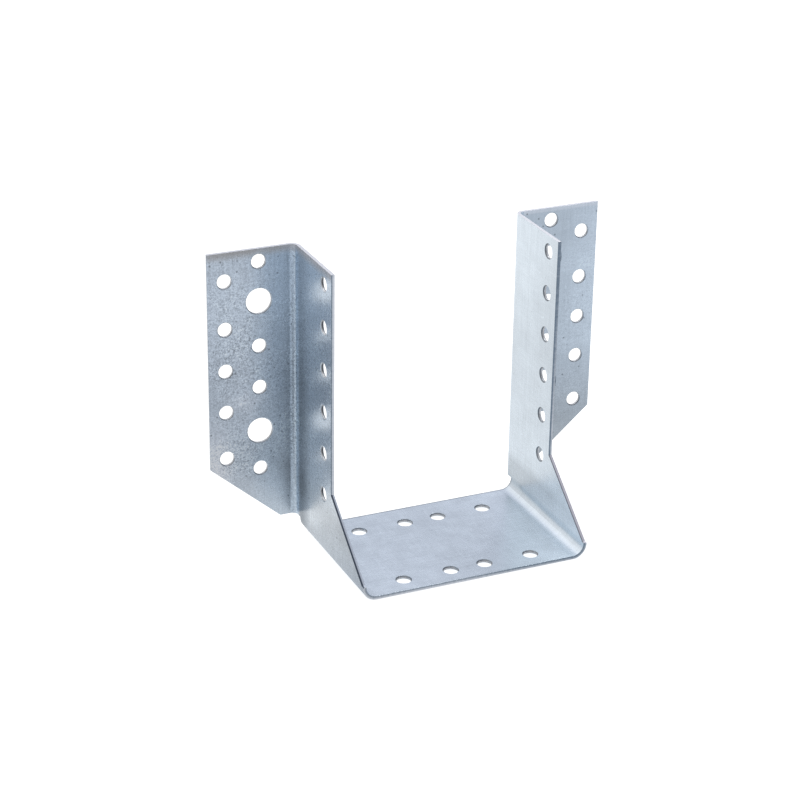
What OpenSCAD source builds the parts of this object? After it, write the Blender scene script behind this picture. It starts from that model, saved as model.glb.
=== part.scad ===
// Joist hanger, folded from one galvanised sheet: a seat that carries the end of a joist,
// two walls that stand beside it, and a flange outside each wall that is fixed to the header.
// Millimetres. X runs across the joist, Y towards the header, Z up. The origin lies on the
// ground under the seat, halfway across the hanger and halfway along its depth.

/* [Sheet] */
// thickness of the galvanised sheet
sheet_thickness = 1.2; // [0.8:0.1:2.5]
// inside radius of the bends between the seat and the walls
seat_bend_radius = 3.8; // [1:0.2:8]
// inside radius of the folds between the walls and the flanges
flange_fold_radius = 2; // [0.8:0.2:5]

/* [Seat and walls] */
// clear width between the walls, where the joist goes
joist_width = 80; // [60:1:160]
// height of the walls above the seat
wall_height = 103; // [90:1:180]
// depth of the walls' upper part, from the header to the front edge
wall_depth = 32.5; // [24:0.5:45]
// depth from the header to the seat's front edge
seat_depth = 60; // [50:1:90]
// height above the seat at which the walls' front edges start to slant forward
slant_height = 25; // [18:1:35]
// how far the strip of the seat and its bends stands in front of the slanted edges' feet
strip_step = 1; // [0.4:0.1:2]
// height of the short straight edges between the seat's bends and what starts above them
bend_clearance = 0.3; // [0.2:0.1:1]
// how far the seat's back edge lies in front of the end of the flange folds
back_relief = 2; // [0.2:0.1:3]

/* [Flanges] */
// reach of each flange beyond the inner face of its wall
flange_reach = 32; // [30:0.5:50]
// width of the flange's short level lower edge, between the fold and the slanted cut
flange_foot = 3.8; // [1:0.1:12]
// height of the slanted cut, from that edge up to the flange's outer edge
slant_cut_height = 21.5; // [8:0.5:25]

/* [Holes] */
// diameter of the nail holes
nail_hole = 5; // [3:0.5:6]
// diameter of the bolt holes
bolt_hole = 9; // [6:0.5:10]
// how far the edges of the holes are rolled in, on both faces of the sheet
hole_edge_roll = 0.25; // [0.1:0.05:0.3]
// distance from the wall's front edge to its column of nail holes
wall_hole_edge = 6.5; // [5:0.5:8]
// distance from the walls' top edge to the centre of their highest nail hole
wall_hole_top = 5.5; // [5:0.5:9]
// height of the walls' lowest nail hole above the seat
wall_hole_bottom = 22.5; // [18:0.5:26]
// number of nail holes in each wall
wall_rows = 6; // [3:1:8]
// distance from the flange's outer edge to its outer column of holes
flange_hole_edge = 6; // [5:0.5:7]
// distance between the two columns of holes in a flange
flange_column_gap = 12; // [9:0.5:14]
// distance from the flange's top edge to the centre of its highest hole
flange_hole_top = 4.5; // [4:0.5:8]
// height of the flange's lowest hole above the seat
flange_hole_bottom = 23.5; // [18:0.5:28]
// how much further out than the even pitch the bolt holes lie
bolt_row_shift = 1; // [0:0.5:2]
// how much further out than the even pitch the outer column's end holes lie
outer_end_shift = 2; // [0:0.5:2.5]
// distance from the seat's front edge to its front row of holes
seat_hole_front = 7; // [5:0.5:10]
// distance from the seat's back edge to its back row of holes
seat_hole_back = 10.5; // [5:0.5:14]
// distance from the inner face of a wall to the nearest seat holes
seat_hole_side = 16.5; // [10:0.5:18]
// distance between the two middle columns of seat holes
seat_middle_gap = 12.5; // [8:0.5:16]

/* [Hidden] */
$fn = 96;
// a cutter runs this far past both faces of the sheet
cut_past = 1;
// steps of the even pitch between the highest and the lowest hole of a flange's inner column
flange_steps = 5;

// length of the cone that cuts a rolled edge, from beyond the face to the hole itself
roll_depth = hole_edge_roll + cut_past;
joist_half = joist_width / 2;
fold_outer = flange_fold_radius + sheet_thickness;
seat_back = fold_outer + back_relief;
seat_flat_half = joist_half - seat_bend_radius;
// the flanges and folds start here, and so do the slanted edges
foot_height = seat_bend_radius + bend_clearance;
slant_foot = seat_depth - strip_step;
wall_pitch = (wall_height - wall_hole_top - wall_hole_bottom) / (wall_rows - 1);
// a flange's outer column has its rows at whole steps from the middle, the inner one at half steps
flange_pitch = (wall_height - flange_hole_top - flange_hole_bottom) / flange_steps;
flange_middle = (wall_height - flange_hole_top + flange_hole_bottom) / 2;
outer_end_row = 2 * flange_pitch + outer_end_shift;
inner_row = 0.5 * flange_pitch;
bolt_row = 1.5 * flange_pitch + bolt_row_shift;
inner_end_row = 2.5 * flange_pitch;
outer_column = joist_half + flange_reach - flange_hole_edge;
inner_column = outer_column - flange_column_gap;

// a quarter ring of sheet in the XY plane, from the +X axis round to the +Y axis
module bend_section(inside) {
    intersection() {
        difference() {
            circle(r = inside + sheet_thickness);
            circle(r = inside);
        }
        square(inside + sheet_thickness);
    }
}

// the sheet seen from the front, as X and Z: the seat, a bend on each side and the two walls
module saddle_section() {
    translate([-seat_flat_half, -sheet_thickness])
        square([2 * seat_flat_half, sheet_thickness]);
    for (side = [0, 1])
        mirror([side, 0]) {
            translate([seat_flat_half, seat_bend_radius])
                rotate(-90)
                    bend_section(seat_bend_radius);
            translate([joist_half, seat_bend_radius])
                square([sheet_thickness, wall_height + cut_past - seat_bend_radius]);
        }
}

// the seat and walls seen from the side, as Y and Z, with the slanted front edge above the strip
module side_outline() {
    polygon([
        [-seat_depth, -sheet_thickness - cut_past],
        [-seat_back, -sheet_thickness - cut_past],
        [-seat_back, foot_height],
        [-fold_outer, foot_height],
        [-fold_outer, wall_height],
        [-wall_depth, wall_height],
        [-wall_depth, slant_height],
        [-slant_foot, foot_height],
        [-seat_depth, foot_height]
    ]);
}

// the seat, its bends and both walls
module saddle() {
    intersection() {
        translate([0, cut_past, 0])
            rotate([90, 0, 0])
                linear_extrude(seat_depth + 2 * cut_past)
                    saddle_section();
        translate([-joist_half - sheet_thickness - cut_past, 0, 0])
            rotate([90, 0, 90])
                linear_extrude(joist_width + 2 * (sheet_thickness + cut_past))
                    side_outline();
    }
}

// the right side seen from above, as X and Y: the wall, the fold outwards and the flange
module wing_section() {
    translate([joist_half, -wall_depth])
        square([sheet_thickness, wall_depth - fold_outer]);
    translate([joist_half + fold_outer, -fold_outer])
        rotate(90)
            bend_section(flange_fold_radius);
    translate([joist_half + fold_outer, -sheet_thickness])
        square([flange_reach + cut_past - fold_outer, sheet_thickness]);
}

// the same seen from the front, as X and Z, with the flange's slanted lower corner
module wing_outline() {
    polygon([
        [joist_half - cut_past, foot_height],
        [joist_half + fold_outer + flange_foot, foot_height],
        [joist_half + flange_reach, foot_height + slant_cut_height],
        [joist_half + flange_reach, wall_height],
        [joist_half - cut_past, wall_height]
    ]);
}

// the right wall's upper part with its fold and flange, which share the wall with the saddle
module wing() {
    intersection() {
        linear_extrude(wall_height + cut_past)
            wing_section();
        translate([0, cut_past, 0])
            rotate([90, 0, 0])
                linear_extrude(wall_depth + 2 * cut_past)
                    wing_outline();
    }
}

// cutter for a hole of the given diameter through a sheet that lies above the XY plane, with a
// short cone at each face for the rolled edge
module hole(diameter) {
    translate([0, 0, -cut_past])
        cylinder(d = diameter, h = sheet_thickness + 2 * cut_past);
    for (face = [0, 1])
        translate([0, 0, face * sheet_thickness])
            mirror([0, 0, face])
                translate([0, 0, -cut_past])
                    cylinder(d1 = diameter + 2 * roll_depth, d2 = diameter, h = roll_depth);
}

// the column of nail holes in the right wall
module wall_holes() {
    for (row = [0 : wall_rows - 1])
        translate([joist_half, wall_hole_edge - wall_depth, wall_hole_bottom + row * wall_pitch])
            rotate([0, 90, 0])
                hole(nail_hole);
}

// one hole through the right flange, at a distance from the middle of its rows
module flange_hole(column, row, diameter) {
    translate([column, 0, flange_middle + row])
        rotate([90, 0, 0])
            hole(diameter);
}

// the two columns of holes in the right flange, staggered, with two larger bolt holes
module flange_holes() {
    for (row = [-outer_end_row, -flange_pitch, 0, flange_pitch, outer_end_row])
        flange_hole(outer_column, row, nail_hole);
    for (row = [-inner_end_row, -inner_row, inner_row, inner_end_row])
        flange_hole(inner_column, row, nail_hole);
    for (row = [-bolt_row, bolt_row])
        flange_hole(inner_column, row, bolt_hole);
}

// two rows of nail holes in the seat's right half
module seat_holes() {
    for (x = [seat_middle_gap / 2, joist_half - seat_hole_side])
        for (y = [seat_hole_front - seat_depth, -seat_back - seat_hole_back])
            translate([x, y, -sheet_thickness])
                hole(nail_hole);
}

// all the holes of the right half
module side_holes() {
    wall_holes();
    flange_holes();
    seat_holes();
}

module hanger() {
    color([0.66, 0.70, 0.75])
        translate([0, seat_depth / 2, sheet_thickness])
            difference() {
                union() {
                    saddle();
                    wing();
                    mirror([1, 0, 0])
                        wing();
                }
                side_holes();
                mirror([1, 0, 0])
                    side_holes();
            }
}

hanger();
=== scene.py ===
"""Looks of a joist hanger folded from one galvanised sheet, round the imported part.

Metres, in the part's own frame: X runs across the joist, Y towards the header, Z up.
The finishes are laid out in millimetres of that frame. A tone is a factor on a colour.
"""

import math
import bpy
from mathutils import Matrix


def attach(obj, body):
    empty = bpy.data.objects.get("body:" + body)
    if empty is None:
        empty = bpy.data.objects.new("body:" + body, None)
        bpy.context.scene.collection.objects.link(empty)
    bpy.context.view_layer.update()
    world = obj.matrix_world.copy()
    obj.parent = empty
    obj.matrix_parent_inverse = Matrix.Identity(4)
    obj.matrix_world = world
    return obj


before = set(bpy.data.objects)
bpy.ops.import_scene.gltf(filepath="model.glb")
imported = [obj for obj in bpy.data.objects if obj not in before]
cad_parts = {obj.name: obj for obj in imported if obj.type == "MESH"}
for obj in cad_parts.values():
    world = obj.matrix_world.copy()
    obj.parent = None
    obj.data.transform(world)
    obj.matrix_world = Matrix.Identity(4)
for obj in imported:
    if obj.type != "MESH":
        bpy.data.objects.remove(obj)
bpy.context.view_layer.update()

from types import SimpleNamespace

import bpy
from mathutils import Vector

MM = 0.001

# The sheet's own lengths, in millimetres, as the part's source has them.
SHEET = 1.2
HEADER_PLANE = 30.0
FLANGE_FRONT = HEADER_PLANE - SHEET
WALL_INSIDE = 40.0
WALL_OUTSIDE = WALL_INSIDE + SHEET
WALL_TOP = 104.2
SEAT_BACK = 24.8
NAIL_HOLE = 5.0
BOLT_HOLE = 9.0
EDGE_ROLL = 0.25
SLEEVE_HEIGHT = SHEET - 2 * EDGE_ROLL
# Radii and centres of the bends beside the seat and of the folds beside the flanges.
BEND_INSIDE = 3.8
BEND_CENTRE_X = 36.2
BEND_CENTRE_Z = 5.0
FOLD_OUTSIDE = 3.2
FOLD_CENTRE_X = 43.2
FOLD_CENTRE_Y = 26.8
FOLD_BAND_X = 42.0

# Where the holes of the right half lie, in millimetres.
WALL_HOLE_Y = 4.0
WALL_HOLE_Z = [23.7 + 15.0 * row for row in range(6)]
OUTER_COLUMN_X = 66.0
OUTER_COLUMN_Z = [30.2, 47.2, 62.2, 77.2, 94.2]
INNER_COLUMN_X = 54.0
INNER_COLUMN_Z = [24.7, 54.7, 69.7, 99.7]
BOLT_COLUMN_Z = [38.7, 85.7]
SEAT_HOLE_X = [6.25, 23.5]
SEAT_HOLE_Y = [-23.0, 14.3]

# A face that is less square on to the sheet than this is a rolled edge, or else a cut one.
RIM_SQUARE_ON = 0.85
CUT_SQUARE_ON = 0.6
# How far the pattern is moved through the sheet, so that its two faces differ.
INNER_FACE_PATTERN = -43.0
OUTER_FACE_PATTERN = 48.0

# Colours of the zinc, by region.
ZINC_PLAIN = (0.655, 0.725, 0.79)
ZINC_BEND_END = (0.61, 0.705, 0.79)
ZINC_LEFT_FLANGE = (0.66, 0.715, 0.775)
ZINC_LEFT_FOLD = (0.655, 0.735, 0.815)
ZINC_LEFT_WALL_LOW = (0.665, 0.718, 0.768)
ZINC_LEFT_WALL = (0.65, 0.735, 0.825)
ZINC_FOLD_BAND = (0.56, 0.655, 0.755)
ZINC_WORN = (0.92, 0.94, 0.99)
OXIDE_ON_WALL = (0.62, 0.61, 0.64)
OXIDE_ON_FLANGE = (0.54, 0.53, 0.535)
# Colours of the sheared edges and of the holes' walls: rubbed by the tool, or torn.
EDGE_RUBBED = (0.25, 0.31, 0.375)
EDGE_TORN = (0.93, 0.94, 0.96)
TOP_EDGE = (0.72, 0.73, 0.76)
RIGHT_SLANT_INSIDE = (0.17, 0.18, 0.21)
RIGHT_SLANT_OUTSIDE = (0.56, 0.55, 0.59)
LEFT_SLANT_INSIDE = (0.50, 0.54, 0.60)
LEFT_SLANT_OUTSIDE = (0.06, 0.075, 0.10)
HOLE_RUBBED = (0.34, 0.37, 0.42)
HOLE_TORN = (0.90, 0.91, 0.93)
# Colours of the studio.
WHITE = (1.0, 1.0, 1.0)
REAR_LEFT_LIGHT = (1.0, 0.985, 0.985)
RIGHT_LIGHT = (0.96, 0.985, 1.09)
DIM_LIGHT = (0.4, 0.4, 0.4)
FLOOR_FRONT = (0.38, 0.42, 0.48)
FLOOR_CARD = (0.8, 0.8, 0.8)
FLOOR_SHOWN = (0.75, 0.75, 0.75)


class Recipe:
    """Short ways to add nodes to one tree and to join them."""

    def __init__(self, tree):
        self.tree = tree

    def add(self, kind, fed=None, **settings):
        """Adds a node with its settings, and feeds its inputs by their names."""
        node = self.tree.nodes.new(kind)
        for name, value in settings.items():
            setattr(node, name, value)
        for name, value in (fed or {}).items():
            self.feed(node.inputs[name], value)
        return node

    def feed(self, socket, value):
        """Joins a socket to another node's output, or writes a plain value on it."""
        if isinstance(value, bpy.types.NodeSocket):
            self.tree.links.new(value, socket)
        else:
            socket.default_value = value

    def math(self, operation, *values, clamp=False):
        node = self.add("ShaderNodeMath", operation=operation, use_clamp=clamp)
        for socket, value in zip(node.inputs, values):
            self.feed(socket, value)
        return node.outputs[0]

    def chain(self, operation, first, *others):
        """Takes the values in one after another."""
        for other in others:
            first = self.math(operation, first, other)
        return first

    def times(self, *values):
        return self.chain("MULTIPLY", *values)

    def plus(self, *values):
        return self.chain("ADD", *values)

    def most(self, *values):
        return self.chain("MAXIMUM", *values)

    def minus(self, first, second):
        return self.math("SUBTRACT", first, second)

    def more(self, base, part, amount):
        """The base, with an amount of the part added."""
        return self.math("MULTIPLY_ADD", part, amount, base)

    def rest(self, share):
        """What a share leaves of 1."""
        return self.minus(1.0, share)

    def past(self, value, limit):
        """How far a value lies past a limit, and 0 before it."""
        return self.most(self.minus(value, limit), 0.0)

    def above(self, value, limit):
        return self.math("GREATER_THAN", value, limit)

    def below(self, value, limit):
        return self.math("LESS_THAN", value, limit)

    def swing(self, pattern, amount):
        """A pattern that runs from 0 to 1, set round 0 and made stronger or weaker."""
        return self.times(self.minus(pattern, 0.5), amount)

    def span(self, value, low, high, new_low=0.0, new_high=1.0, smooth=False):
        """Stretches a value from one range to another and stops it at both ends."""
        node = self.add(
            "ShaderNodeMapRange",
            {
                "Value": value,
                "From Min": low,
                "From Max": high,
                "To Min": new_low,
                "To Max": new_high,
            },
            clamp=True,
            interpolation_type="SMOOTHSTEP" if smooth else "LINEAR",
        )
        return node.outputs["Result"]

    def ridge(self, value, middle, reach, smooth=True):
        """1 at the middle, falling to 0 at its reach on both sides."""
        away = self.math("ABSOLUTE", self.minus(value, middle))
        return self.span(away, 0.0, reach, 1.0, 0.0, smooth)

    def vector(self, operation, first, second=None):
        node = self.add("ShaderNodeVectorMath", operation=operation)
        self.feed(node.inputs[0], first)
        if second is not None:
            self.feed(node.inputs[1], second)
        return node.outputs["Value" if operation in ("DOT_PRODUCT", "LENGTH") else "Vector"]

    def scaled(self, vector, factor):
        """A longer vector or a lighter colour."""
        fed = {"Vector": vector, "Scale": factor}
        return self.add("ShaderNodeVectorMath", fed, operation="SCALE").outputs["Vector"]

    def split(self, vector):
        return self.add("ShaderNodeSeparateXYZ", {"Vector": vector}).outputs

    def join(self, x, y, z):
        return self.add("ShaderNodeCombineXYZ", {"X": x, "Y": y, "Z": z}).outputs[0]

    def noise(self, place, scale, detail=2.0, roughness=0.5):
        fed = {"Vector": place, "Scale": scale, "Detail": detail, "Roughness": roughness}
        return self.add("ShaderNodeTexNoise", fed, noise_dimensions="3D").outputs[0]

    def cells(self, place, scale):
        """Voronoi cells: the distance to the nearest seed point and that cell's random colour."""
        fed = {"Vector": place, "Scale": scale}
        node = self.add("ShaderNodeTexVoronoi", fed, feature="F1", voronoi_dimensions="3D")
        return node.outputs["Distance"], node.outputs["Color"]

    def choose(self, amount, first, second):
        """Goes from the first vector or colour to the second."""
        node = self.add("ShaderNodeMix", {"Factor": amount}, data_type="VECTOR")
        self.feed(node.inputs[4], first)
        self.feed(node.inputs[5], second)
        return node.outputs[1]

    def blend(self, amount, first, second):
        """Goes from the first number to the second."""
        node = self.add("ShaderNodeMix", {"Factor": amount}, data_type="FLOAT")
        self.feed(node.inputs[2], first)
        self.feed(node.inputs[3], second)
        return node.outputs[0]

    def bump(self, height, depth, normal=None):
        fed = {"Height": height, "Distance": depth}
        if normal is not None:
            fed["Normal"] = normal
        return self.add("ShaderNodeBump", fed).outputs["Normal"]

    def rays(self):
        """1 on the camera's own rays, and 1 on those that metal or glass sends on."""
        path = self.add("ShaderNodeLightPath")
        mirrored = self.most(path.outputs["Is Glossy Ray"], path.outputs["Is Transmission Ray"])
        return path.outputs["Is Camera Ray"], mirrored

    def end_with(self, shader, kind="ShaderNodeOutputMaterial"):
        self.add(kind, {"Surface": shader.outputs[0]})


def empty_material(name):
    """A material with an empty tree, and the recipe to fill it with."""
    material = bpy.data.materials.new(name)
    material.use_nodes = True
    material.node_tree.nodes.clear()
    return material, Recipe(material.node_tree)


def new_object(name, data):
    """An object in the scene for a mesh, a lamp or a camera."""
    thing = bpy.data.objects.new(name, data)
    bpy.context.scene.collection.objects.link(thing)
    return thing


def sheet_places(recipe):
    """Places on the flat blank, in millimetres, so that a pattern runs on round every fold.

    `blank` holds the place across the blank, from the seat's front edge to the flange's outer
    edge, then the place along the rolling direction, up the walls, then one of two depths.
    `facing` is 1 on the blank's outer face and `inside` on the one towards the joist. `through`
    is the depth below the inner face, as a share of the sheet. `cut` is 1 on the sheared and
    punched faces, and `rim` on the rolled edges of the holes.
    """
    place = recipe.add("ShaderNodeTexCoord")
    normal = place.outputs["Normal"]
    x, y, z = recipe.split(recipe.scaled(place.outputs["Object"], 1 / MM))
    off_middle = recipe.math("ABSOLUTE", x)
    side = recipe.math("SIGN", x)
    left = recipe.below(x, 0.0)
    across = recipe.plus(y, recipe.past(off_middle, WALL_OUTSIDE))
    # The rolling direction runs down the left wall, across the seat and up the right wall.
    up_left = recipe.minus(recipe.most(z, SHEET), recipe.past(WALL_INSIDE, off_middle))
    up_right = recipe.minus(2 * (SHEET - WALL_INSIDE), up_left)
    along = recipe.blend(left, up_right, up_left)
    nx, ny, nz = recipe.split(normal)
    outwards = recipe.minus(recipe.minus(recipe.times(nx, side), ny), nz)
    facing = recipe.above(outwards, 0.0)
    depth = recipe.blend(facing, INNER_FACE_PATTERN, OUTER_FACE_PATTERN)

    # A rolled face looks towards or away from its bend's centre, or is square to X, Y or Z.
    bend_x = recipe.past(off_middle, BEND_CENTRE_X)
    bend_z = recipe.past(BEND_CENTRE_Z, z)
    saddle = recipe.join(recipe.times(bend_x, side), 0.0, recipe.times(bend_z, -1.0))
    fold_x = recipe.past(FOLD_CENTRE_X, off_middle)
    fold_y = recipe.past(y, FOLD_CENTRE_Y)
    wing = recipe.join(recipe.times(fold_x, side, -1.0), fold_y, 0.0)
    on_wing = recipe.above(y, FOLD_CENTRE_Y)
    straight_out = recipe.vector("NORMALIZE", recipe.choose(on_wing, saddle, wing))
    square_on = recipe.math("ABSOLUTE", recipe.vector("DOT_PRODUCT", straight_out, normal))
    through = recipe.blend(
        on_wing,
        recipe.minus(recipe.vector("LENGTH", saddle), BEND_INSIDE),
        recipe.minus(FOLD_OUTSIDE, recipe.vector("LENGTH", wing)),
    )
    cut = recipe.below(square_on, CUT_SQUARE_ON)
    on_wall = recipe.times(
        recipe.below(off_middle, WALL_OUTSIDE + 0.6), recipe.above(off_middle, WALL_INSIDE - 0.1)
    )
    return SimpleNamespace(
        x=x,
        y=y,
        z=z,
        upwards=nz,
        off_middle=off_middle,
        from_top=recipe.minus(WALL_TOP, z),
        left=left,
        left_outside=recipe.times(left, facing),
        on_wall=on_wall,
        on_left_flange=recipe.below(x, -FOLD_CENTRE_X),
        on_right_flange=recipe.above(x, FOLD_CENTRE_X),
        facing=facing,
        inside=recipe.rest(facing),
        across=across,
        along=along,
        depth=depth,
        blank=recipe.join(across, along, depth),
        through=recipe.math("DIVIDE", through, SHEET),
        cut=cut,
        rim=recipe.minus(recipe.below(square_on, RIM_SQUARE_ON), cut),
    )


def streaks(recipe, sheet, across_scale, along_scale):
    """Noise stretched along or across the rolling direction."""
    place = recipe.join(
        recipe.times(sheet.across, across_scale),
        recipe.times(sheet.along, along_scale),
        sheet.depth,
    )
    return recipe.noise(place, 1.0, roughness=0.55)


def zinc_patterns(recipe, sheet):
    """The zinc's grain and crystals, about a millimetre wide or less, its clouds and streaks."""
    _, crystal = recipe.cells(sheet.blank, 1.6)
    return SimpleNamespace(
        fine=recipe.noise(sheet.blank, 2.3, roughness=0.6),
        grain=recipe.noise(sheet.blank, 1.0, roughness=0.6),
        crystal=recipe.split(crystal)[0],
        cloud=recipe.noise(sheet.blank, 0.07, roughness=0.55),
        patch=recipe.noise(sheet.blank, 0.22),
        rolled=streaks(recipe, sheet, 1.1, 0.06),
        dragged=streaks(recipe, sheet, 0.12, 1.1),
    )


def fold_band(recipe, sheet):
    """1 along the folds between the walls and the flanges."""
    beside = recipe.math("ABSOLUTE", recipe.minus(sheet.off_middle, FOLD_BAND_X))
    return recipe.times(
        recipe.span(beside, 0.6, 1.6, 1.0, 0.0, smooth=True),
        recipe.span(sheet.y, FOLD_CENTRE_Y - 0.6, FOLD_CENTRE_Y + 0.4, smooth=True),
    )


def grain_share(recipe, sheet, cloud, in_fold):
    """The grain shows best on the left half's outer face, in patches, and along the folds."""
    outer = recipe.times(
        recipe.blend(sheet.left, 0.4, 1.4),
        recipe.span(cloud, 0.35, 0.65, 0.45, 1.25),
        recipe.span(sheet.off_middle, 46.0, 56.0, 0.65, 1.0),
        recipe.span(sheet.z, 20.0, 27.0, 0.3, 1.0),
        recipe.span(sheet.z, 82.0, 94.0, 1.08, 0.6),
    )
    return recipe.blend(sheet.facing, 0.05, recipe.more(outer, in_fold, 0.6))


def pattern_tone(recipe, sheet, zinc, share):
    """The zinc's grain, wide faint clouds, and streaks that show best at the left flange's top."""
    mottle = recipe.plus(
        recipe.swing(zinc.fine, 1.15),
        recipe.swing(zinc.grain, 0.45),
        recipe.swing(zinc.crystal, 0.22),
    )
    near_top = recipe.times(
        recipe.span(sheet.from_top, 3.0, 14.0, 1.0, 0.0, smooth=True), sheet.on_left_flange
    )
    return recipe.plus(
        recipe.more(1.0, mottle, share),
        recipe.swing(zinc.rolled, recipe.more(0.2, near_top, 0.5)),
        recipe.swing(zinc.dragged, 0.14),
        recipe.swing(zinc.cloud, 0.2),
        recipe.swing(zinc.patch, 0.14),
    )


def fold_shade_and_tool_line(recipe, sheet):
    """Painted shade as a dark stripe beside each fold, outside, and the line the folding tool left
    on each wall.
    """
    # The stripe is painted shade by the fold, deepest low on the wall.
    stripe = recipe.times(
        recipe.span(sheet.y, 14.0, 23.6, smooth=True),
        recipe.span(sheet.y, 24.6, 27.4, 1.0, 0.0, smooth=True),
    )
    depth = recipe.times(sheet.facing, recipe.span(sheet.z, 20.0, 80.0, 0.56, 0.26))
    line_y = recipe.blend(sheet.left, 17.0, 15.3)
    tool_line = recipe.times(
        recipe.ridge(sheet.y, line_y, 0.3, smooth=False), recipe.blend(sheet.left, 0.06, -0.08)
    )
    return recipe.times(recipe.plus(recipe.times(stripe, depth), tool_line), sheet.on_wall)


def specks(recipe, sheet):
    """Tiny dots, a few to each square centimetre: below 0 where dark, above 0 where pale."""
    from_seed, random = recipe.cells(sheet.blank, 0.33)
    _, kind, size = recipe.split(random)
    reach = recipe.span(size, 0.0, 1.0, 0.08, 0.17)
    dot = recipe.span(from_seed, recipe.times(reach, 0.45), reach, 1.0, 0.0)
    dark = recipe.times(recipe.below(kind, 0.45), recipe.blend(sheet.facing, 0.12, 0.5))
    pale = recipe.times(recipe.above(kind, 0.75), 0.14)
    return recipe.times(dot, recipe.minus(pale, dark))


def left_half_painted_shading(recipe, sheet):
    """Painted light and shade on the left half: the left wall darker above the seat, and wide
    faint light and dark bands on its flange.
    """
    low_wall = recipe.times(
        recipe.ridge(sheet.z, 18.5, 10.0), -0.15, recipe.times(sheet.left, sheet.on_wall)
    )
    bands = recipe.times(
        recipe.minus(recipe.ridge(sheet.z, 84.0, 12.0), recipe.ridge(sheet.z, 61.0, 12.0)),
        recipe.span(sheet.x, -62.0, -50.0, 0.07, 0.02, smooth=True),
    )
    low_band = recipe.times(recipe.ridge(sheet.z, 35.0, 14.0), sheet.on_left_flange)
    return recipe.plus(low_wall, recipe.more(bands, low_band, 0.085))


def with_seat_and_bends(recipe, sheet, tone, bend_end):
    """The seat is darker in its middle and has a painted highlight by the right bend, which a thin
    darker line ends.
    """
    # A painted highlight: the seat grows lighter towards the right bend.
    towards_bend = recipe.times(
        recipe.span(sheet.z, SHEET + 0.1, 3.6, 1.0, 0.0),
        recipe.span(sheet.y, -24.0, 24.0, 0.21, 0.07),
        recipe.span(sheet.x, 14.0, BEND_CENTRE_X - 0.2, smooth=True),
    )
    tone = recipe.plus(tone, towards_bend)
    mid_seat = recipe.times(recipe.ridge(sheet.x, 0.0, 16.0), -0.035)
    tone = recipe.more(tone, mid_seat, recipe.below(sheet.z, SHEET + 0.1))
    return recipe.more(tone, bend_end, -0.1)


def right_half_painted_shade(recipe, sheet):
    """How much painted shade darkens parts of the right half.

    The wall gets painted shade beside the seat, along its upper front edge and about the middle of
    its height, and the flange towards its slanted corner.
    """
    beside_seat = recipe.times(
        recipe.span(sheet.z, 12.0, 15.5, 1.0, 0.0), recipe.span(sheet.y, -20.0, -4.0, 0.1, 0.21)
    )
    front_edge = recipe.times(
        recipe.span(sheet.y, 0.0, 14.0, 0.1, 0.0), recipe.span(sheet.z, 45.0, 75.0)
    )
    wall = recipe.plus(
        recipe.more(
            recipe.most(beside_seat, front_edge), recipe.ridge(sheet.z, 62.0, 44.0), 0.055
        ),
        recipe.span(sheet.z, 19.0, 32.0, -0.05, 0.01),
    )
    flange = recipe.plus(
        recipe.span(sheet.z, 24.0, 54.0, 0.34, 0.0), recipe.span(sheet.z, 80.0, 100.0, -0.02, 0.04)
    )
    # All of this is painted shade on the zinc's colour.
    dull = recipe.plus(
        recipe.times(wall, recipe.below(sheet.x, WALL_OUTSIDE)),
        recipe.times(flange, sheet.on_right_flange),
    )
    return recipe.times(dull, recipe.above(sheet.x, WALL_INSIDE - 1.0))


def painted_edge_shade(recipe, sheet):
    """Painted shade lines: along the seat's back edge, and on the rolled edges that face the joist
    or look up in a flange.
    """
    back = recipe.times(
        recipe.span(sheet.y, SEAT_BACK - 0.7, SEAT_BACK - 0.3),
        0.45,
        recipe.below(sheet.z, BEND_CENTRE_Z),
        sheet.inside,
    )
    inner_rim = recipe.times(sheet.rim, recipe.below(sheet.through, 0.5), 0.6)
    flange_rim = recipe.times(
        sheet.rim,
        recipe.span(sheet.upwards, 0.0, 0.4, 0.0, 0.45),
        recipe.above(sheet.y, FOLD_CENTRE_Y),
    )
    return recipe.most(back, inner_rim, flange_rim)


def oxide_film(recipe, sheet, patch):
    """A dull film of oxide along the sheared top edges of the left half, outside."""
    return recipe.times(
        recipe.span(sheet.from_top, 0.2, 3.8, 0.75, 0.0, smooth=True),
        sheet.left_outside,
        recipe.span(patch, 0.3, 0.7, 0.75, 1.1),
        recipe.rest(sheet.cut),
    )


def whitish_wear(recipe, sheet, patch):
    """The left flange's lower outer corner and a smear, and the right flange's top edge."""
    corner = recipe.times(
        recipe.span(sheet.x, -70.5, -62.0, 1.0, 0.0, smooth=True),
        recipe.span(sheet.z, 22.0, 52.0, 1.0, 0.0, smooth=True),
    )
    smear = recipe.times(
        recipe.ridge(recipe.more(sheet.z, patch, 8.0), 54.0, 5.0),
        recipe.ridge(sheet.x, -60.0, 11.0),
        0.35,
    )
    top_edge = recipe.times(
        recipe.span(sheet.from_top, 0.9, 1.6, 0.5, 0.0, smooth=True),
        sheet.on_right_flange,
        sheet.facing,
    )
    return recipe.most(recipe.times(recipe.most(corner, smear), sheet.left_outside), top_edge)


def zinc_tint(recipe, sheet, bend_end):
    """The zinc's colour: bluer on the left wall's upper and rear part and at the bends' ends."""
    up_or_back = recipe.most(recipe.span(sheet.z, 16.0, 50.0), recipe.span(sheet.y, 15.0, 23.0))
    left_wall = recipe.choose(up_or_back, ZINC_LEFT_WALL_LOW, ZINC_LEFT_WALL)
    left_half = recipe.choose(sheet.on_wall, ZINC_LEFT_FOLD, left_wall)
    on_flange = recipe.span(sheet.x, -60.0, -50.0, 1.0, 0.0, smooth=True)
    left_half = recipe.choose(on_flange, left_half, ZINC_LEFT_FLANGE)
    elsewhere = recipe.choose(bend_end, ZINC_PLAIN, ZINC_BEND_END)
    return recipe.choose(sheet.left_outside, elsewhere, left_half)


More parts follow.
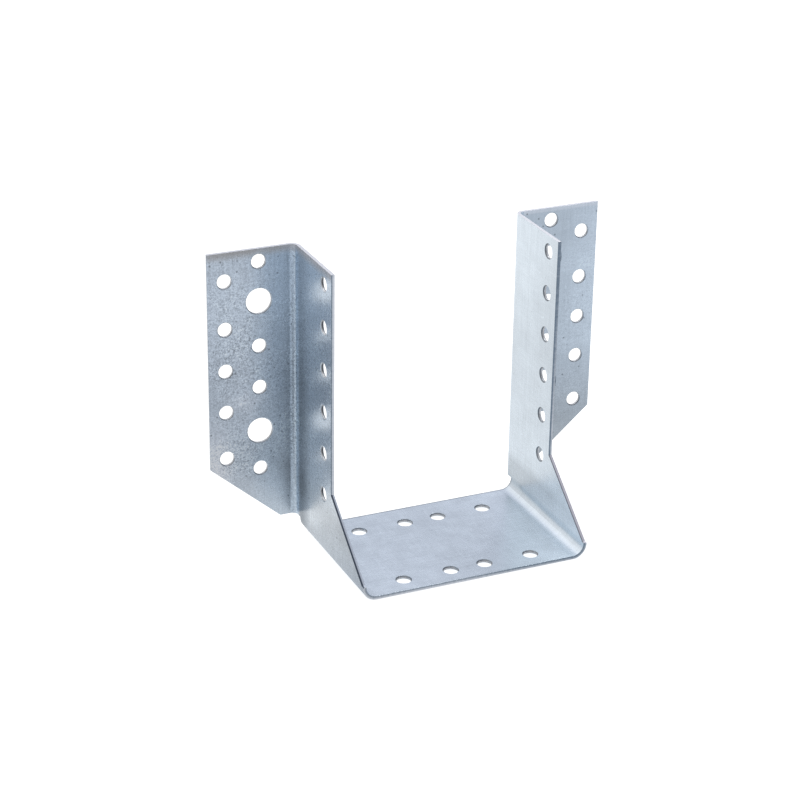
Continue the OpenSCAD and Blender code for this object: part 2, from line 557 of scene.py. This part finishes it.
def sheared_colour(recipe, sheet, grain):
    """Sheared edges: slate where the blade rubbed, pale where the sheet tore and zinc smeared;
    partly painted light and shade.
    """
    # Which side of each edge is pale follows the light on it, as painted light and shade: the
    # inner side on the left wall, the outer side on the right wall and seat, less pale up the
    # right wall and towards the seat's right end.
    left_wall = recipe.span(sheet.through, 0.5, 0.85, 1.0, 0.0, smooth=True)
    right_wall = recipe.times(
        recipe.span(sheet.through, 0.3, 0.8, smooth=True),
        recipe.span(sheet.z, 35.0, 85.0, 0.8, 0.05),
    )
    seat = recipe.minus(
        recipe.span(sheet.through, 0.15, 0.85, 0.2, 0.9, smooth=True),
        recipe.span(sheet.x, -5.0, 41.0, 0.0, 0.42),
    )
    wall = recipe.blend(sheet.left, right_wall, left_wall)
    torn = recipe.blend(recipe.above(sheet.z, BEND_CENTRE_Z), seat, wall)
    torn = recipe.math("ADD", torn, recipe.span(grain, 0.3, 0.7, -0.12, 0.12), clamp=True)
    upright = recipe.choose(torn, EDGE_RUBBED, EDGE_TORN)
    # The slanted edges and the small ledges at their feet look up and still stay dark.
    on_right = recipe.choose(
        recipe.span(sheet.through, 0.15, 0.4), RIGHT_SLANT_INSIDE, RIGHT_SLANT_OUTSIDE
    )
    on_left = recipe.choose(
        recipe.span(sheet.through, 0.35, 0.6), LEFT_SLANT_INSIDE, LEFT_SLANT_OUTSIDE
    )
    slanted = recipe.choose(sheet.left, on_right, on_left)
    looking_up = recipe.choose(recipe.above(sheet.z, WALL_TOP / 2), slanted, TOP_EDGE)
    return recipe.choose(recipe.span(sheet.upwards, 0.5, 0.7), upright, looking_up)


def galvanised_sheet():
    """Zinc-coated steel: fine spangle, rolling streaks, specks, tool lines by the folds, sheared
    edges, and painted light and shade.
    """
    material, recipe = empty_material("galvanised_sheet")
    sheet = sheet_places(recipe)
    zinc = zinc_patterns(recipe, sheet)
    in_fold = fold_band(recipe, sheet)
    share = grain_share(recipe, sheet, zinc.cloud, in_fold)
    bend_end = recipe.times(recipe.ridge(sheet.z, 4.7, 2.2), sheet.inside)

    tone = pattern_tone(recipe, sheet, zinc, share)
    # Painted shade beside the folds, with the folding tool's lines and the zinc's specks.
    tone = recipe.times(
        tone, recipe.rest(fold_shade_and_tool_line(recipe, sheet)), recipe.plus(1.0, specks(recipe, sheet))
    )
    # Painted light and shade on the left wall and flange.
    tone = recipe.plus(tone, left_half_painted_shading(recipe, sheet))
    tone = with_seat_and_bends(recipe, sheet, tone, bend_end)
    tone = recipe.times(
        tone,
        # Painted shade on the right wall and flange.
        recipe.rest(right_half_painted_shade(recipe, sheet)),
        # Painted shade along the seat's back edge and the holes' rolled edges.
        recipe.rest(painted_edge_shade(recipe, sheet)),
    )

    # A painted light: the right flange is lighter towards its outer edge.
    lighter = recipe.span(sheet.x, 58.0, 71.0, 1.0, 1.12)
    tint = zinc_tint(recipe, sheet, bend_end)
    colour = recipe.scaled(tint, recipe.times(tone, lighter))
    colour = recipe.choose(in_fold, colour, recipe.scaled(ZINC_FOLD_BAND, tone))
    wear = whitish_wear(recipe, sheet, zinc.patch)
    colour = recipe.choose(wear, colour, recipe.scaled(ZINC_WORN, tone))
    film = oxide_film(recipe, sheet, zinc.patch)
    onto_flange = recipe.span(sheet.off_middle, 43.0, 46.0)
    film_colour = recipe.choose(onto_flange, OXIDE_ON_WALL, OXIDE_ON_FLANGE)
    colour = recipe.choose(film, colour, film_colour)
    colour = recipe.choose(sheet.cut, colour, sheared_colour(recipe, sheet, zinc.grain))

    dull = recipe.plus(0.2, recipe.times(zinc.grain, 0.08), recipe.times(zinc.patch, 0.06))
    dull = recipe.most(recipe.more(dull, sheet.rim, 0.2), recipe.times(sheet.cut, 0.42))
    rounded = recipe.add("ShaderNodeBevel", {"Radius": 0.15 * MM}, samples=4)
    wavy = recipe.bump(zinc.cloud, 0.12 * MM, rounded.outputs[0])
    height = recipe.times(recipe.plus(zinc.fine, zinc.grain), share)
    finish = {
        "Metallic": recipe.rest(film),
        "Base Color": colour,
        "Roughness": dull,
        "Normal": recipe.bump(height, 0.012 * MM, wavy),
    }
    recipe.end_with(recipe.add("ShaderNodeBsdfPrincipled", finish))
    return material


def punched_hole_wall():
    """A punched wall: burnished and dark where the punch went in, torn and pale beyond."""
    material, recipe = empty_material("punched_hole_wall")
    ring = recipe.add("ShaderNodeAttribute", attribute_name="ring_place").outputs["Vector"]
    turn_x, turn_y, depth = recipe.split(ring)
    place = recipe.add("ShaderNodeTexCoord")
    in_mm = recipe.scaled(place.outputs["Object"], 1 / MM)
    scored = recipe.noise(recipe.join(turn_x, turn_y, 0.0), 9.0, detail=3.0, roughness=0.6)
    smear = recipe.noise(in_mm, 0.9)
    half = SLEEVE_HEIGHT * MM / 2
    torn = recipe.span(
        recipe.plus(depth, recipe.swing(smear, half)), -half, 0.2 * half, smooth=True
    )
    # Painted shade: in the left wall the part of each hole's wall that faces the front is
    # darkened.
    x, _, _ = recipe.split(in_mm)
    _, ny, _ = recipe.split(place.outputs["Normal"])
    off_left_wall = recipe.math("ABSOLUTE", recipe.plus(x, WALL_OUTSIDE))
    painted_front_shade = recipe.times(
        recipe.span(ny, -0.95, -0.55, 0.72, 0.0, smooth=True),
        recipe.below(off_left_wall, 2 * SHEET),
    )
    tone = recipe.plus(
        recipe.span(scored, 0.3, 0.7, -0.14, 0.1), recipe.span(smear, 0.3, 0.7, 0.88, 1.04)
    )
    tone = recipe.times(tone, recipe.rest(painted_front_shade))
    finish = {
        "Metallic": recipe.span(torn, 0.0, 1.0, 1.0, 0.45),
        "Base Color": recipe.scaled(recipe.choose(torn, HOLE_RUBBED, HOLE_TORN), tone),
        "Roughness": recipe.span(torn, 0.0, 1.0, 0.28, 0.5),
        "Normal": recipe.bump(scored, 0.02 * MM),
    }
    recipe.end_with(recipe.add("ShaderNodeBsdfPrincipled", finish))
    return material


def hole_list():
    """Every hole: its centre in mid-sheet, the way the punch went, and its radius, in mm."""
    wall = (WALL_INSIDE + WALL_OUTSIDE) / 2
    flange = (HEADER_PLANE + FLANGE_FRONT) / 2
    nail = NAIL_HOLE / 2
    columns = (
        (OUTER_COLUMN_X, OUTER_COLUMN_Z, nail),
        (INNER_COLUMN_X, INNER_COLUMN_Z, nail),
        (INNER_COLUMN_X, BOLT_COLUMN_Z, BOLT_HOLE / 2),
    )
    holes = []
    for side in (-1, 1):
        holes += [((side * wall, WALL_HOLE_Y, z), (side, 0, 0), nail) for z in WALL_HOLE_Z]
        for x, heights, radius in columns:
            holes += [((side * x, flange, z), (0, -1, 0), radius) for z in heights]
        for x in SEAT_HOLE_X:
            holes += [((side * x, y, SHEET / 2), (0, 0, -1), nail) for y in SEAT_HOLE_Y]
    return holes


def sleeve_tree(material):
    """Geometry nodes: a thin ring on every point, turned to its axis and scaled to its hole.

    Gives the tree and the value of each of its inputs, by the socket's identifier.
    """
    tree = bpy.data.node_groups.new("hole_sleeves", "GeometryNodeTree")
    face = tree.interface
    face.new_socket("Holes", in_out="INPUT", socket_type="NodeSocketGeometry")
    sizes = {}
    for name, kind, value in (
        ("Band height", "NodeSocketFloat", SLEEVE_HEIGHT * MM),
        ("Band thickness", "NodeSocketFloat", 0.02),
        ("Segments", "NodeSocketInt", 48),
        ("Shortest band", "NodeSocketFloat", 0.92),
        ("Seed", "NodeSocketInt", 7),
    ):
        socket = face.new_socket(name, in_out="INPUT", socket_type=kind)
        sizes[socket.identifier] = value
    face.new_socket("Sleeves", in_out="OUTPUT", socket_type="NodeSocketGeometry")
    recipe = Recipe(tree)
    given = recipe.add("NodeGroupInput").outputs

    # The ring, of radius 1, with its own places kept for its finish.
    rim = recipe.add(
        "GeometryNodeCurvePrimitiveCircle",
        {"Resolution": given["Segments"], "Radius": 1.0},
        mode="RADIUS",
    )
    section = recipe.add(
        "GeometryNodeCurvePrimitiveQuadrilateral",
        {"Width": given["Band thickness"], "Height": given["Band height"]},
        mode="RECTANGLE",
    )
    ring = recipe.add(
        "GeometryNodeCurveToMesh",
        {"Curve": rim.outputs["Curve"], "Profile Curve": section.outputs["Curve"]},
    )
    marked = recipe.add(
        "GeometryNodeStoreNamedAttribute",
        {
            "Name": "ring_place",
            "Geometry": ring.outputs["Mesh"],
            "Value": recipe.add("GeometryNodeInputPosition").outputs[0],
        },
        data_type="FLOAT_VECTOR",
        domain="POINT",
    )

    # One ring for each hole, a little shorter by chance.
    axis = recipe.add(
        "GeometryNodeInputNamedAttribute", {"Name": "axis"}, data_type="FLOAT_VECTOR"
    ).outputs["Attribute"]
    radius = recipe.add(
        "GeometryNodeInputNamedAttribute", {"Name": "radius"}, data_type="FLOAT"
    ).outputs["Attribute"]
    turned = recipe.add("FunctionNodeAlignRotationToVector", {"Vector": axis}, axis="Z")
    height = recipe.add("FunctionNodeRandomValue", {"Seed": given["Seed"]}, data_type="FLOAT")
    low, high = [s for s in height.inputs if s.name in ("Min", "Max") and s.type == "VALUE"]
    recipe.feed(low, given["Shortest band"])
    recipe.feed(high, 1.0)
    drawn = [s for s in height.outputs if s.type == "VALUE"][0]
    placed = recipe.add(
        "GeometryNodeInstanceOnPoints",
        {
            "Points": given["Holes"],
            "Instance": marked.outputs["Geometry"],
            "Rotation": turned.outputs["Rotation"],
            "Scale": recipe.join(radius, radius, drawn),
        },
    )
    real = recipe.add(
        "GeometryNodeRealizeInstances", {"Geometry": placed.outputs["Instances"]}
    )
    coated = recipe.add(
        "GeometryNodeSetMaterial", {"Geometry": real.outputs["Geometry"], "Material": material}
    )
    recipe.add("NodeGroupOutput", {"Sleeves": coated.outputs["Geometry"]})
    return tree, sizes


def hole_sleeves():
    """The punched walls of all the holes, as one thin piece just inside the sheet's own holes."""
    material = punched_hole_wall()
    tree, sizes = sleeve_tree(material)
    holes = hole_list()
    points = bpy.data.meshes.new("hole_centres")
    points.from_pydata([[c * MM for c in centre] for centre, _, _ in holes], [], [])
    points.attributes.new("axis", "FLOAT_VECTOR", "POINT")
    points.attributes.new("radius", "FLOAT", "POINT")
    ways = [part for _, way, _ in holes for part in way]
    points.attributes["axis"].data.foreach_set("vector", ways)
    points.attributes["radius"].data.foreach_set("value", [reach * MM for _, _, reach in holes])
    carrier = new_object("hole_centres", points)
    modifier = carrier.modifiers.new("sleeves", "NODES")
    modifier.node_group = tree
    for identifier, value in sizes.items():
        modifier[identifier] = value
    seen = bpy.context.evaluated_depsgraph_get()
    mesh = bpy.data.meshes.new_from_object(carrier.evaluated_get(seen), depsgraph=seen)
    mesh.name = "hole_sleeves"
    carrier.modifiers.remove(modifier)
    bpy.data.objects.remove(carrier)
    piece = new_object("hole_sleeves", mesh)
    mesh.materials.clear()
    mesh.materials.append(material)
    mesh.polygons.foreach_set("material_index", [0] * len(mesh.polygons))
    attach(piece, "root")


def studio_world():
    """White all round for the camera; in the metal, a bright rear and a dimmer front."""
    world = bpy.data.worlds.new("studio")
    bpy.context.scene.world = world
    world.use_nodes = True
    world.node_tree.nodes.clear()
    recipe = Recipe(world.node_tree)
    direction = recipe.add("ShaderNodeTexCoord").outputs["Generated"]
    sideways, ahead, up = recipe.split(direction)
    leftwards = recipe.span(sideways, -0.45, 0.35, 1.04, 0.67, smooth=True)
    rear = recipe.span(ahead, -0.4, 0.5, 0.5, 1.0, smooth=True)
    overhead = recipe.span(up, 0.5, 0.95, 0.0, 0.4, smooth=True)
    tone = recipe.plus(recipe.times(rear, leftwards), overhead)
    # The light from the rear left is neutral; towards the right it turns blue.
    tint = recipe.choose(recipe.span(sideways, -0.35, 0.3), REAR_LEFT_LIGHT, RIGHT_LIGHT)
    seen, mirrored = recipe.rays()
    colour = recipe.choose(mirrored, DIM_LIGHT, recipe.scaled(tint, tone))
    colour = recipe.choose(seen, colour, WHITE)
    light = recipe.add("ShaderNodeBackground", {"Color": colour})
    recipe.end_with(light, "ShaderNodeOutputWorld")


def floor_card():
    """Pale card: white to the camera, but paler behind than in front where the metal shows it."""
    material, recipe = empty_material("floor_card")
    seen, mirrored = recipe.rays()
    x, y, _ = recipe.split(recipe.add("ShaderNodeTexCoord").outputs["Object"])
    rear = recipe.plus(
        recipe.span(y, 0.02, 0.05, 0.64, 0.75), recipe.span(y, 0.05, 0.25, 0.0, 0.11)
    )
    front = recipe.span(y, -0.14, -0.06, 1.05, 0.95, smooth=True)
    tone = recipe.choose(
        recipe.span(y, -0.06, 0.05, smooth=True),
        recipe.scaled(FLOOR_FRONT, front),
        recipe.scaled(WHITE, rear),
    )
    # A shaded spot in front on the left, for the left half's outer face.
    from_spot = recipe.join(recipe.minus(x, -0.13), recipe.minus(y, -0.075), 0.0)
    shade = recipe.span(recipe.vector("LENGTH", from_spot), 0.01, 0.13, 0.35, 1.0, smooth=True)
    card = recipe.add(
        "ShaderNodeBsdfDiffuse",
        {"Color": recipe.choose(mirrored, FLOOR_CARD, recipe.scaled(DIM_LIGHT, shade))},
    )
    lit = recipe.add(
        "ShaderNodeEmission",
        {
            "Color": recipe.choose(mirrored, FLOOR_SHOWN, recipe.scaled(tone, shade)),
            "Strength": recipe.most(seen, mirrored),
        },
    )
    both = recipe.add("ShaderNodeAddShader")
    recipe.feed(both.inputs[0], card.outputs[0])
    recipe.feed(both.inputs[1], lit.outputs[0])
    recipe.end_with(both)
    return material


def studio_floor():
    """A plain pale floor that the camera sees as white, and that keeps the hanger's shadow."""
    mesh = bpy.data.meshes.new("floor")
    reach = 4.0
    below = -0.1 * MM
    corners = [(-reach, -reach), (reach, -reach), (reach, reach), (-reach, reach)]
    mesh.from_pydata([(x, y, below) for x, y in corners], [], [(0, 1, 2, 3)])
    floor = new_object("floor", mesh)
    mesh.materials.append(floor_card())


def soft_lamp(name, place, aim, size, watts, mirrored=True):
    """A square lamp; the metal shows it only where it is mirrored."""
    data = bpy.data.lights.new(name, "AREA")
    data.shape = "SQUARE"
    data.size = size
    data.energy = watts
    lamp = new_object(name, data)
    lamp.visible_glossy = mirrored
    lamp.location = place
    way = [a - p for a, p in zip(aim, place)]
    lamp.rotation_euler = Vector(way).to_track_quat("-Z", "Y").to_euler()


def place_camera():
    """The photograph's viewpoint: from the left, a little above, with a long lens."""
    data = bpy.data.cameras.new("camera")
    data.sensor_width = 36.0
    data.lens = 103.208
    camera = new_object("camera", data)
    camera.location = (-0.30236, -0.63057, 0.36635)
    camera.rotation_euler = [math.radians(a) for a in (65.8235, -0.8346, -24.0936)]
    bpy.context.scene.camera = camera


place_camera()
studio_world()
studio_floor()
soft_lamp("key", (0.5, 0.45, 1.0), (0, 0, 0.05), 0.5, 4.0)
soft_lamp("fill", (-0.6, -0.5, 1.1), (0, 0, 0.05), 0.8, 1.5, mirrored=False)

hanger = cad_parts["hanger"]
finish = galvanised_sheet()
if hanger.material_slots:
    for slot in hanger.material_slots:
        slot.material = finish
else:
    hanger.data.materials.append(finish)
hole_sleeves()

bpy.context.scene.view_settings.view_transform = "Standard"
